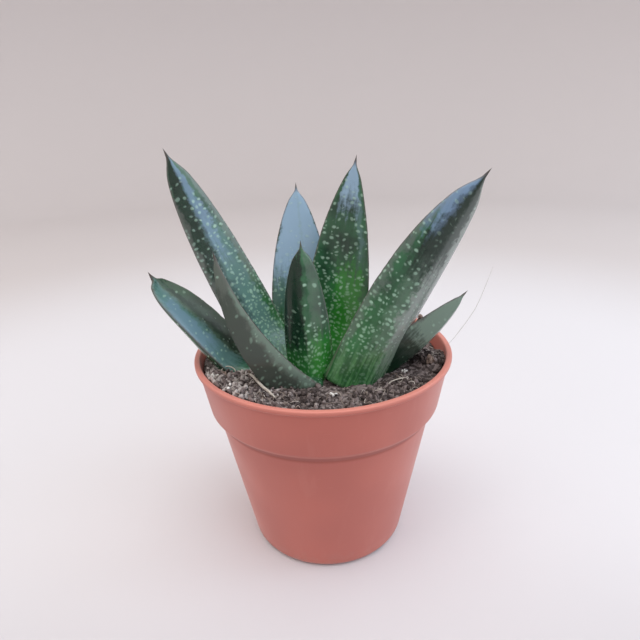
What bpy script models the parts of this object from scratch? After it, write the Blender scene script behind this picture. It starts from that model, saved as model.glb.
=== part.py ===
"""A young gasteria in a round plastic nursery pot: pot, soil, short stem and separate leaves.

Metres, +Z up. The origin is the centre of the circle that the pot stands on, and -Y is the plant's front.
"""
import math

import bmesh
import bpy
from mathutils import Vector
from mathutils.bvhtree import BVHTree

MM = 0.001
GAP = 0.3 * MM
WELD = 0.002 * MM

# Pot: a thin moulded shell with a rolled lip, a straight collar, a stacking step and a tapering body.
TURN_STEPS = 64
POT_HEIGHT = 69.8 * MM
RIM_RADIUS = 42.5 * MM
LIP_HEIGHT = 1.8 * MM
LIP_PROUD = 0.7 * MM
LIP_ROUND = 0.55 * MM
COLLAR_BOTTOM_Z = 53.0 * MM
COLLAR_BOTTOM_RADIUS = 38.9 * MM
STEP_BOTTOM_Z = 49.6 * MM
STEP_BOTTOM_RADIUS = 36.3 * MM
FOOT_CORNER_Z = 3.2 * MM
FOOT_CORNER_RADIUS = 27.6 * MM
FOOT_RADIUS = 25.4 * MM
FOOT_RING_WIDTH = 3.6 * MM
FOOT_RING_DRAFT = 0.5 * MM
WALL = 1.1 * MM
FLOOR_RECESS = 1.4 * MM
FLOOR_THICK = 1.3 * MM
FLOOR_FILLET = 2.2 * MM

# Underside: a foot ring and a middle pad that stand on the ground, with a ring of drain holes in the
# raised floor between them and notches that let the water out under the foot ring.
PAD_RADIUS = 7.0 * MM
DRAIN_HOLES = 6
DRAIN_HOLE_RADIUS = 2.8 * MM
DRAIN_RING_RADIUS = 14.0 * MM
DRAIN_SIDES = 15
DRAIN_TURN = math.radians(7)
NOTCHES = 4
NOTCH_WIDTH = 6.0 * MM
NOTCH_HEIGHT = 1.0 * MM
NOTCH_TURN = math.radians(38)

# Soil: one plug of potting mix with an uneven top and a level patch under the plant.
SOIL_TOP_Z = 66.2 * MM
SOIL_RELIEF = 0.35 * MM
SOIL_LEAN = 2.8 * MM
SOIL_RINGS = 9
CROWN = Vector((-1.0 * MM, -9.5 * MM, 0))
CROWN_PATCH_RADIUS = 25.0 * MM
PATCH_SQUASH = 0.74
PATCH_EDGE = 5.0 * MM

# Stem: the short stub that carries the leaves.
STEM_RADIUS = 6.0 * MM
STEM_HEIGHT = 4.0 * MM
STEM_SHOULDER = 2.0 * MM

# Leaves: a thick tongue with a hollowed face, a keeled back and a short hard point.
LEAF_RINGS = 18
LEAF_SIDES = 16
RING_CROWDING = 0.85
LEAF_SUNK = 3.0 * MM
FACE_RISE = 0.35
SWELL_EXTRA = 1.25
BASE_PINCH = 0.1
HEEL_SHARE = 0.28
POINT_LENGTH = 2.2 * MM
POINT_RADIUS = 0.35 * MM

# Each leaf, innermost first, in millimetres and degrees.
# base: where its middle line leaves the soil, seen from above. tip: the end of its point.
# face: the compass direction that its upper face looks to, counted from +X towards +Y.
# bow and sweep: how far its middle stands out behind its back, and sideways, from the straight line.
# full and blunt: two powers that keep the width up towards the tip; a smaller blunt is blunter.
# heel: how far the foot of the leaf is filled out towards the stem that it clasps.
LEAVES = {
    "leaf_heart": dict(base=(-3.5, -14), tip=(-5.6, -8, 108.2), face=90, bow=1.0, sweep=0.3,
                       width=14.5, thick=6.0, hollow=0.6, keel=0.55, full=2.8, blunt=0.70, heel=6),
    "leaf_upright": dict(base=(3.0, -5), tip=(12.2, 4, 131.0), face=258, bow=1.3, sweep=-1.2,
                         width=22.0, thick=7.0, hollow=0.9, keel=0.50, full=2.4, blunt=0.88, heel=8),
    "leaf_back": dict(base=(-6.0, -1), tip=(-7.1, 16, 122.0), face=275, bow=1.0, sweep=0.0,
                      width=21.0, thick=6.2, hollow=0.9, keel=0.50, full=2.8, blunt=0.82, heel=9),
    "leaf_left": dict(base=(-12.5, -9), tip=(-44.9, 0, 135.0), face=312, bow=1.6, sweep=0.5,
                      width=17.2, thick=7.5, hollow=0.8, keel=0.40, full=3.3, blunt=0.68, heel=8),
    "leaf_right": dict(base=(10.0, -15), tip=(48.4, -12, 127.5), face=110, bow=-2.5, sweep=1.3,
                       width=22.0, thick=8.0, hollow=0.8, keel=0.30, full=3.8, blunt=0.80, heel=9),
    "leaf_front_left": dict(base=(-7.5, -17), tip=(-28.9, -23, 109.3), face=54, bow=4.5, sweep=0.5,
                            width=17.6, thick=8.5, hollow=0.8, keel=0.60, full=1.3, blunt=1.05, heel=5),
    "leaf_low_right": dict(base=(14.5, -9), tip=(45.5, -8, 90.7), face=127, bow=1.6, sweep=0.0,
                           width=18.0, thick=6.0, hollow=0.6, keel=0.60, full=2.9, blunt=0.87, heel=11),
    "leaf_low_left": dict(base=(-24.4, -8), tip=(-52.9, -6, 99.4), face=-17, bow=-0.9, sweep=0.0,
                          width=16.8, thick=7.7, hollow=0.5, keel=0.40, full=3.6, blunt=0.50, heel=11),
    "leaf_low_back": dict(base=(1.0, 8), tip=(4.0, 31, 92.0), face=270, bow=1.5, sweep=0.0,
                          width=16.5, thick=6.5, hollow=0.7, keel=0.50, full=2.6, blunt=0.75, heel=10),
}

POT_FINISH = dict(colour=(0.42, 0.13, 0.105), roughness=0.45)
SOIL_FINISH = dict(colour=(0.075, 0.055, 0.045), roughness=0.95)
STEM_FINISH = dict(colour=(0.30, 0.36, 0.18), roughness=0.6)
LEAF_FINISH = dict(colour=(0.035, 0.085, 0.045), roughness=0.32)


def clear_scene():
    for old in list(bpy.data.objects):
        bpy.data.objects.remove(old, do_unlink=True)


def material(name, colour, roughness):
    made = bpy.data.materials.new(name)
    made.use_nodes = True
    shader = made.node_tree.nodes["Principled BSDF"]
    shader.inputs["Base Color"].default_value = (*colour, 1)
    shader.inputs["Roughness"].default_value = roughness
    shader.inputs["Metallic"].default_value = 0
    return made


def add_object(name, points, faces, finish):
    mesh = bpy.data.meshes.new(name)
    mesh.from_pydata([tuple(p) for p in points], [], faces)
    mesh.update()
    piece = bpy.data.objects.new(name, mesh)
    bpy.context.scene.collection.objects.link(piece)
    mesh.materials.append(material(name + "_finish", **finish))
    mesh.shade_smooth()
    mesh.set_sharp_from_angle(angle=math.radians(35))
    return piece


def round_ring(points, radius, height):
    """Adds one ring of points round Z, or a single point on it, and returns their numbers."""
    ring = []
    for step in range(TURN_STEPS if radius else 1):
        angle = 2 * math.pi * step / TURN_STEPS
        x, y = radius * math.cos(angle), radius * math.sin(angle)
        ring.append(len(points))
        points.append((x, y, height(x, y)))
    return ring


def level_ring(points, radius, z):
    return round_ring(points, radius, lambda x, y: z)


def skin(rings):
    """Faces between each ring and the next; a ring of one point gives triangles."""
    faces = []
    for low, high in zip(rings, rings[1:]):
        for step in range(TURN_STEPS):
            after = (step + 1) % TURN_STEPS
            lower = [low[step % len(low)], low[after % len(low)]]
            upper = [high[after % len(high)], high[step % len(high)]]
            faces.append(list(dict.fromkeys(lower + upper)))
    return faces


def turned(name, profile, finish):
    """A profile of (radius, z), from axis to axis, turned round Z."""
    points = []
    rings = [level_ring(points, radius, z) for radius, z in profile]
    return add_object(name, points, skin(rings), finish)


def subtract(piece, cutter):
    """Cuts the cutter out of the piece for good and deletes the cutter."""
    cut = piece.modifiers.new("cut", "BOOLEAN")
    cut.operation = "DIFFERENCE"
    cut.solver = "EXACT"
    cut.use_self = True
    cut.object = cutter
    bpy.context.view_layer.update()
    shaped = piece.evaluated_get(bpy.context.evaluated_depsgraph_get())
    mesh = bpy.data.meshes.new_from_object(shaped)
    piece.modifiers.remove(cut)
    piece.data = mesh
    bpy.data.objects.remove(cutter, do_unlink=True)


def keep_largest_part(piece):
    """Drops the crumbs that a cut leaves beside the main body."""
    shape = bmesh.new()
    shape.from_mesh(piece.data)
    bmesh.ops.dissolve_degenerate(shape, dist=WELD, edges=shape.edges[:])
    groups, seen = [], set()
    for start in shape.faces:
        if start in seen:
            continue
        group, front = {start}, [start]
        while front:
            for edge in front.pop().edges:
                fresh = set(edge.link_faces) - group
                group |= fresh
                front.extend(fresh)
        seen |= group
        groups.append(group)
    groups.sort(key=lambda group: sum(face.calc_area() for face in group))
    crumbs = [face for group in groups[:-1] for face in group]
    bmesh.ops.delete(shape, geom=crumbs, context="FACES")
    shape.to_mesh(piece.data)
    shape.free()


def wall_inset():
    """The horizontal distance between the outer and the inner side of the sloping wall."""
    slope = (STEP_BOTTOM_RADIUS - FOOT_CORNER_RADIUS) / (STEP_BOTTOM_Z - FOOT_CORNER_Z)
    return WALL * math.sqrt(1 + slope * slope)


def inner_profile(clearance):
    """The inside of the pot from the floor's edge to the mouth, drawn in by a clearance."""
    inset = wall_inset() + clearance
    floor_z = FLOOR_RECESS + FLOOR_THICK
    return [
        (FOOT_RADIUS - inset + 0.6 * MM, floor_z + clearance),
        (FOOT_CORNER_RADIUS - inset + 0.2 * MM, floor_z + FLOOR_FILLET + clearance),
        (STEP_BOTTOM_RADIUS - inset, STEP_BOTTOM_Z + clearance),
        (COLLAR_BOTTOM_RADIUS - inset, COLLAR_BOTTOM_Z + clearance),
    ]


def mouth_radius(z):
    """The collar's outer radius at a height, without the lip."""
    share = (z - COLLAR_BOTTOM_Z) / (POT_HEIGHT - COLLAR_BOTTOM_Z)
    return COLLAR_BOTTOM_RADIUS + share * (RIM_RADIUS - LIP_PROUD - COLLAR_BOTTOM_RADIUS)


def pot_profile():
    """The shell's section as (radius, z): underside, then up the outside, then down the inside."""
    lip_bottom = POT_HEIGHT - LIP_HEIGHT
    outside = [
        (FOOT_RADIUS, 0),
        (FOOT_RADIUS + 1.3 * MM, 0.7 * MM),
        (FOOT_CORNER_RADIUS - 0.25 * MM, 1.8 * MM),
        (FOOT_CORNER_RADIUS, FOOT_CORNER_Z),
        (STEP_BOTTOM_RADIUS, STEP_BOTTOM_Z),
        (COLLAR_BOTTOM_RADIUS, COLLAR_BOTTOM_Z),
        (mouth_radius(lip_bottom), lip_bottom),
        (RIM_RADIUS - 0.15 * MM, lip_bottom + 0.25 * MM),
        (RIM_RADIUS, lip_bottom + LIP_ROUND),
        (RIM_RADIUS, POT_HEIGHT - LIP_ROUND),
        (RIM_RADIUS - 0.2 * MM, POT_HEIGHT - 0.2 * MM),
        (RIM_RADIUS - LIP_ROUND, POT_HEIGHT),
        (mouth_radius(POT_HEIGHT) - wall_inset(), POT_HEIGHT),
    ]
    floor_z = FLOOR_RECESS + FLOOR_THICK
    inside = [(0, floor_z), (PAD_RADIUS, floor_z)] + inner_profile(0)
    underside = [
        (0, 0),
        (PAD_RADIUS, 0),
        (PAD_RADIUS + FOOT_RING_DRAFT, FLOOR_RECESS),
        (FOOT_RADIUS - FOOT_RING_WIDTH - FOOT_RING_DRAFT, FLOOR_RECESS),
        (FOOT_RADIUS - FOOT_RING_WIDTH, 0),
    ]
    return underside + outside + inside[::-1]


def upright_cylinder(radius, centre, low, high, sides):
    bpy.ops.mesh.primitive_cylinder_add(
        vertices=sides, radius=radius, depth=high - low, location=(*centre, (low + high) / 2)
    )
    return bpy.context.object


def notch_block(angle):
    """A block across the foot ring, half above the ground."""
    bpy.ops.mesh.primitive_cube_add(size=1)
    block = bpy.context.object
    block.scale = (3 * FOOT_RING_WIDTH, NOTCH_WIDTH, 2 * NOTCH_HEIGHT)
    middle = FOOT_RADIUS - FOOT_RING_WIDTH / 2
    block.location = (middle * math.cos(angle), middle * math.sin(angle), 0)
    block.rotation_euler = (0, 0, angle)
    return block


def make_pot():
    pot = turned("pot", pot_profile(), POT_FINISH)
    floor_low, floor_high = -1 * MM, FLOOR_RECESS + FLOOR_THICK + 1 * MM
    for number in range(DRAIN_HOLES):
        angle = DRAIN_TURN + 2 * math.pi * (number + 0.5) / DRAIN_HOLES
        centre = (DRAIN_RING_RADIUS * math.cos(angle), DRAIN_RING_RADIUS * math.sin(angle))
        subtract(pot, upright_cylinder(DRAIN_HOLE_RADIUS, centre, floor_low, floor_high, DRAIN_SIDES))
    for number in range(NOTCHES):
        subtract(pot, notch_block(NOTCH_TURN + 2 * math.pi * number / NOTCHES))
    return pot


def soil_height(x, y):
    """The soil's top: level round the crown, then uneven, higher at the front left than at the back right."""
    away = math.hypot(PATCH_SQUASH * (x - CROWN.x), y - CROWN.y)
    rough = min(1.0, max(0.0, (away - CROWN_PATCH_RADIUS) / PATCH_EDGE))
    waves = math.sin(x / (4.1 * MM) + 0.6) * math.cos(y / (5.3 * MM))
    lean = -(x + y) / (2 * RIM_RADIUS)
    return SOIL_TOP_Z + rough * (SOIL_RELIEF * waves + SOIL_LEAN * lean)


def make_soil():
    """A plug that follows the inside of the pot; its top is drawn by soil_height."""
    side = inner_profile(GAP)
    top_radius = mouth_radius(SOIL_TOP_Z - SOIL_LEAN) - wall_inset() - GAP
    points = []
    rings = [level_ring(points, 0, side[0][1])]
    rings += [level_ring(points, radius, z) for radius, z in side]
    for number in range(SOIL_RINGS, -1, -1):
        rings.append(round_ring(points, top_radius * number / SOIL_RINGS, soil_height))
    return add_object("soil", points, skin(rings), SOIL_FINISH)


def make_stem(grow=0.0):
    """A stub with a rounded top; grow swells it, for cutting its room out of the leaves."""
    low = SOIL_TOP_Z + GAP
    high = low + STEM_HEIGHT
    profile = [
        (0, low),
        (STEM_RADIUS, low),
        (STEM_RADIUS, high - STEM_SHOULDER),
        (STEM_RADIUS * 0.72, high - 0.3 * STEM_SHOULDER),
        (0, high),
    ]
    stem = turned("stem", profile, STEM_FINISH)
    swell(stem, grow)
    for vertex in stem.data.vertices:
        vertex.co += CROWN
    return stem


def bend(start, control, end, t):
    """A point and a direction on the curve from start to end that leans towards the control point."""
    point = (1 - t) ** 2 * start + 2 * t * (1 - t) * control + t * t * end
    run = 2 * (1 - t) * (control - start) + 2 * t * (end - control)
    return point, run.normalized()


def leaf_section(leaf, share):
    """One cross-section as (across, up) pairs: a hollowed face above and a keeled back below."""
    taper = (1 - share ** leaf["full"]) ** leaf["blunt"]
    half = leaf["width"] / 2 * MM * taper * (1 - BASE_PINCH * (1 - share) ** 3)
    depth = leaf["thick"] * MM * (1 - share ** 2.2) ** 0.75 * (1 - 0.25 * share)
    hollow = leaf["hollow"] * MM * (1 - share) * taper
    heel = leaf["heel"] * MM * max(0, 1 - share / HEEL_SHARE) ** 2
    outline = []
    for number in range(LEAF_SIDES):
        angle = 2 * math.pi * number / LEAF_SIDES
        across, swing = math.cos(angle), math.sin(angle)
        if swing >= 0:
            up = heel * swing - hollow * swing * swing
        else:
            up = -depth * ((1 - leaf["keel"]) * -swing + leaf["keel"] * (1 - abs(across)))
        outline.append((half * across + POINT_RADIUS * across, up + POINT_RADIUS * swing))
    return outline


def leaf_rings(leaf):
    """The leaf's cross-sections, each a list of points round its bent middle line, from foot to tip."""
    foot = Vector((*leaf["base"], SOIL_TOP_Z / MM)) * MM
    tip = Vector(leaf["tip"]) * MM
    chord = (tip - foot).normalized()
    look = math.radians(leaf["face"])
    face = Vector((math.cos(look), math.sin(look), FACE_RISE))
    face = (face - face.dot(chord) * chord).normalized()
    foot -= chord * LEAF_SUNK
    control = (foot + tip) / 2 - face * 2 * leaf["bow"] * MM + chord.cross(face) * 2 * leaf["sweep"] * MM
    blade = 1 - POINT_LENGTH / (tip - foot).length
    rings = []
    for number in range(LEAF_RINGS):
        share = (number / (LEAF_RINGS - 1)) ** RING_CROWDING
        centre, run = bend(foot, control, tip, share * blade)
        up = (face - face.dot(run) * run).normalized()
        side = up.cross(run)
        rings.append([centre + side * across + up * rise for across, rise in leaf_section(leaf, share)])
    return rings, foot, tip


def make_leaf(name, leaf, grow=0.0):
    """A leaf skinned over its cross-sections, with its foot cut level just above the soil."""
    rings, foot, tip = leaf_rings(leaf)
    points = [point for ring in rings for point in ring] + [foot, tip]
    faces = []
    for ring in range(LEAF_RINGS - 1):
        low, high = ring * LEAF_SIDES, (ring + 1) * LEAF_SIDES
        for number in range(LEAF_SIDES):
            after = (number + 1) % LEAF_SIDES
            faces.append((low + number, low + after, high + after, high + number))
    last = (LEAF_RINGS - 1) * LEAF_SIDES
    for number in range(LEAF_SIDES):
        after = (number + 1) % LEAF_SIDES
        faces.append((after, number, len(points) - 2))
        faces.append((last + number, last + after, len(points) - 1))
    piece = add_object(name, points, faces, LEAF_FINISH)
    swell(piece, grow)
    level_foot(piece, SOIL_TOP_Z + GAP - grow)
    return piece


def swell(piece, distance):
    """Moves the whole skin outwards; the extra share keeps the distance where faces meet at an angle."""
    outward = [vertex.normal.copy() for vertex in piece.data.vertices]
    for vertex, normal in zip(piece.data.vertices, outward):
        vertex.co += normal * distance * SWELL_EXTRA


def level_foot(piece, z):
    """Cuts everything below a height away and closes the cut."""
    shape = bmesh.new()
    shape.from_mesh(piece.data)
    everything = shape.verts[:] + shape.edges[:] + shape.faces[:]
    bmesh.ops.bisect_plane(shape, geom=everything, plane_co=(0, 0, z), plane_no=(0, 0, 1), clear_inner=True)
    rim = [edge for edge in shape.edges if edge.is_boundary]
    bmesh.ops.contextual_create(shape, geom=rim)
    bmesh.ops.recalc_face_normals(shape, faces=shape.faces[:])
    shape.to_mesh(piece.data)
    shape.free()


def overlaps(one, other):
    trees = []
    for piece in (one, other):
        corners = [vertex.co[:] for vertex in piece.data.vertices]
        trees.append(BVHTree.FromPolygons(corners, [face.vertices[:] for face in piece.data.polygons]))
    return bool(trees[0].overlap(trees[1]))


def give_way(piece, room):
    """Cuts the room out of the piece where they meet; the room goes either way."""
    if overlaps(piece, room):
        subtract(piece, room)
    else:
        bpy.data.objects.remove(room, do_unlink=True)


def make_leaves():
    """Each leaf gives way to the stem and to the leaves inside it, and so clasps them."""
    inner = []
    for name, leaf in LEAVES.items():
        piece = make_leaf(name, leaf)
        give_way(piece, make_stem(GAP))
        for other_name, other in inner:
            give_way(piece, make_leaf(other_name + "_room", other, GAP))
        keep_largest_part(piece)
        inner.append((name, leaf))


def main():
    clear_scene()
    make_pot()
    make_soil()
    make_stem()
    make_leaves()


main()
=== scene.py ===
"""The look of a young gasteria in its nursery pot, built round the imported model.

The pot, soil, stem and leaves repeat the part's own named sizes at a finer step. What lies on the soil is
added here. Metres, +Z up, the plant's front to -Y.
"""
import functools
import math
import random

import bpy
from mathutils import Euler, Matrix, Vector, noise
from mathutils.bvhtree import BVHTree


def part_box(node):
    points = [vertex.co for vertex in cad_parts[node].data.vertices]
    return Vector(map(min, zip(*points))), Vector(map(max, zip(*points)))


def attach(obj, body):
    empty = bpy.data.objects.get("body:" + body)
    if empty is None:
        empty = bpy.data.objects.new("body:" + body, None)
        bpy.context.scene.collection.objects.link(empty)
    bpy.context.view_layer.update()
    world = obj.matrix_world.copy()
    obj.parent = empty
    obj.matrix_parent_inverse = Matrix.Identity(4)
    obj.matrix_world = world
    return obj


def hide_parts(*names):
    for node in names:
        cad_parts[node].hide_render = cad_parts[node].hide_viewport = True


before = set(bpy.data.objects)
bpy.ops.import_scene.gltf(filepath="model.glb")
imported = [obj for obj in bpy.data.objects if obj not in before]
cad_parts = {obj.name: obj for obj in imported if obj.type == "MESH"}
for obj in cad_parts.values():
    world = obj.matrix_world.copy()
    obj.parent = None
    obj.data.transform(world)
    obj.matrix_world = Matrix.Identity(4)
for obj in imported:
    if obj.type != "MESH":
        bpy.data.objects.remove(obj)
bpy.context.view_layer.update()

MM = 0.001
BODY = "root"

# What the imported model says: the pot's height and rim, and the height that the stem stands on.
POT_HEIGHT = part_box("pot")[1].z
RIM_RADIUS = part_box("pot")[1].x
GAP = 0.3 * MM
SOIL_TOP_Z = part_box("stem")[0].z - GAP

# Pot, as in the part, with a finer turn and rounded corners.
POT_STEPS = 240
LIP_HEIGHT = 1.8 * MM
LIP_PROUD = 0.7 * MM
LIP_ROUND = 0.55 * MM
COLLAR_BOTTOM_Z = 53.0 * MM
COLLAR_BOTTOM_RADIUS = 38.9 * MM
STEP_BOTTOM_Z = 49.6 * MM
STEP_BOTTOM_RADIUS = 36.3 * MM
FOOT_CORNER_Z = 3.2 * MM
FOOT_CORNER_RADIUS = 27.6 * MM
FOOT_RADIUS = 25.4 * MM
FOOT_RING_WIDTH = 3.6 * MM
FOOT_RING_DRAFT = 0.5 * MM
WALL = 1.1 * MM
FLOOR_RECESS = 1.4 * MM
FLOOR_THICK = 1.3 * MM
FLOOR_FILLET = 2.2 * MM
PAD_RADIUS = 7.0 * MM
DRAIN_HOLES = 6
DRAIN_HOLE_RADIUS = 2.8 * MM
DRAIN_RING_RADIUS = 14.0 * MM
DRAIN_TURN = math.radians(7)
DRAIN_SIDES = 39
DRAIN_CUT = 5 * MM
NOTCHES = 4
NOTCH_WIDTH = 6.0 * MM
NOTCH_HEIGHT = 1.0 * MM
NOTCH_TURN = math.radians(38)
SHARP_EDGE = math.radians(40)

# Soil, as in the part, with crumbs, fibres and grains on it.
SOIL_RELIEF = 0.35 * MM
SOIL_LEAN = 2.8 * MM
CROWN = Vector((-1.0 * MM, -9.5 * MM, 0))
CROWN_PATCH_RADIUS = 25.0 * MM
PATCH_SQUASH = 0.74
PATCH_EDGE = 5.0 * MM
SOIL_RINGS = 120
SOIL_STEPS = 320
STEM_RADIUS = 6.0 * MM
STEM_HEIGHT = 4.0 * MM
STEM_SUNK = 0.5 * MM
STEM_RINGS = 24
STEM_STEPS = 96
SCAR_DEPTH = 0.12 * MM
SCAR_WAVES = 26
MOUND_STEEPNESS = 1.6
COARSE_LENGTH = 4.0 * MM
COARSE_HEIGHT = 0.5 * MM
FINE_LENGTH = 1.3 * MM
FINE_HEIGHT = 0.75 * MM
# How far what lies on the soil keeps from the wall: lumps, strands, and lumps in heaps.
LUMP_MARGIN = 0.8 * MM
STRAND_MARGIN = 0.5 * MM
HEAP_MARGIN = 0.9 * MM

# On the soil, in millimetres: mounds that it forms against the rim, heaps of crumbs and fibres, and clusters
# of white grains, each as (centre), radius, height.
MOUNDS = [
    ((-28, -21), 15, 2.5), ((-17, -30), 12, 2.0), ((-4, -33), 12, 1.5), ((12, -32), 11, 1.2),
    ((25, -26), 10, 1.2), ((37, -5), 10, 2.2), ((33, 10), 8, 1.0),
]
CRUMB_HEAPS = [
    ((-29, -20), 11, 2.2), ((-21, -28), 9, 1.8), ((-8, -33), 9, 1.2), ((12, -32), 8, 1.0),
    ((25, -25), 8, 1.2), ((35, -7), 7, 1.5),
]
GRAIN_CLUSTERS = [
    ((25.6, -14.0), 1.2, 0.8), ((3.0, -29.6), 1.3, 0.6), ((-27, -27), 5, 1.8), ((-33, -20), 5, 1.8),
]

# Kinds of lumps: how many, the least and the greatest half size in millimetres, and their form: how finely
# they are modelled, their stretch and how dented they are. Scattered crumbs also have how far they keep from
# the wall in millimetres, and how high their middle lies as a share of their half size.
CRUMBS = [
    (1700, (0.22, 0.55), (1, (1, 0.8, 0.65), 0.35), 0.8, 0.3),
    (760, (0.45, 0.95), (2, (1.25, 0.85, 0.6), 0.6), 1.2, 0.35),
    (90, (0.9, 1.5), (3, (1.3, 0.85, 0.55), 0.7), 1.8, 0.0),
]
HEAPED_CRUMBS = (75, (0.35, 1.0), (2, (1.25, 0.85, 0.65), 0.6))
LOOSE_GRAINS = (46, (0.18, 0.42), (2, (1, 0.9, 0.8), 0.5))
CLUSTERED_GRAINS = (6, (0.25, 0.55), (2, (1, 0.8, 0.7), 0.7))
SMALL_BARK = (24, (0.7, 1.5), (3, (1.3, 0.8, 0.45), 0.6))
LARGE_BARK = (3, (1.1, 0.8, 0.65), 0.7)
GRAIN_LIFT = 0.4 * MM

# Kinds of fibres: how many, and in millimetres the least and the greatest length, lift of the middle and
# thickness.
LOOSE_FIBRES = (170, (1.5, 5), (0.1, 0.7), (0.10, 0.26))
HEAPED_FIBRES = (26, (1.5, 4.5), (0.2, 1.2), (0.14, 0.30))

# Pieces of bark, in millimetres: place, height above the soil, half size.
BARK = [
    (33.0, 18.5, 1.0, 2.6), (35.0, 14.0, 0.8, 1.9), (29.0, 25.0, 0.9, 2.2), (-6.0, 30.0, 0.7, 1.8),
    (-22.0, 24.0, 0.9, 2.2), (34.0, -11.0, 0.6, 1.5),
]

# Roots that are placed one by one: thickness in millimetres, sides, how far the ends taper, and route in
# millimetres. First the pale root in front of the left leaf, the loop beside it, the sprig at the front
# right and the long hair that rises at the right. Then the two curled dry roots at the rear right.
PALE_ROOTS = [
    (0.85, 8, 0.7, [(-22.4, -19.0, 69.2), (-21.8, -21.0, 70.6), (-20.0, -24.5, 70.9), (-17.8, -28.2, 70.5),
                    (-15.6, -30.8, 70.0), (-13.6, -32.8, 69.0)]),
    (0.34, 6, 0.6, [(-31.6, -17.2, 69.0), (-31.2, -16.0, 70.4), (-29.6, -15.6, 71.0), (-27.6, -16.8, 70.8),
                    (-26.4, -18.4, 69.6)]),
    (0.4, 6, 0.6, [(18.0, -24.5, 66.8), (20.2, -23.0, 67.8), (22.6, -22.2, 68.2), (25.6, -20.6, 67.7),
                   (27.5, -18.5, 66.8)]),
    (0.09, 4, 0.6, [(41.0, -3.0, 69.4), (41.8, -10.0, 76.0), (42.9, -18.0, 84.5), (44.2, -23.0, 92.0),
                    (46.8, -25.0, 103.0)]),
]
DRY_ROOTS = [
    (1.7, 10, 0.85, [(31.0, 17.0, 64.5), (33.2, 17.0, 67.6), (35.0, 16.4, 70.4), (35.8, 15.4, 72.6),
                     (35.2, 14.2, 73.9), (33.8, 13.4, 73.6)]),
    (0.7, 8, 0.8, [(36.5, 12.5, 65.0), (37.6, 13.8, 68.5), (37.4, 15.8, 71.5), (36.0, 17.2, 73.0)]),
]

# Leaves, as in the part, with more rows and columns.
LEAF_ROWS = 150
LEAF_COLUMNS = 72
POINT_ROWS = 8
RING_CROWDING = 0.85
LEAF_SUNK = 3.0 * MM
FACE_RISE = 0.35
BASE_PINCH = 0.1
HEEL_SHARE = 0.28
POINT_LENGTH = 2.2 * MM
HOOK_POWER = 8
HOOK_FACTOR = 23.1
SMALLEST = 1e-6
SWELLING = 0.16 * MM
SWELLING_LENGTH = 7.0 * MM
TOOTH_DEPTH = 0.22 * MM
TOOTH_LENGTH = 1.6 * MM
TOOTH_REACH = 0.6
BEND_STEP = 0.002
SLIM_POWER = 2.6
DEPTH_POWERS = (2.2, 0.75)
DEPTH_LOSS = 0.25
# How far the skin's pattern is shifted, in millimetres: on a leaf's back, and for each letter of its name.
BACK_SHIFT = 60
LETTER_SHIFT = 7.3

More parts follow.
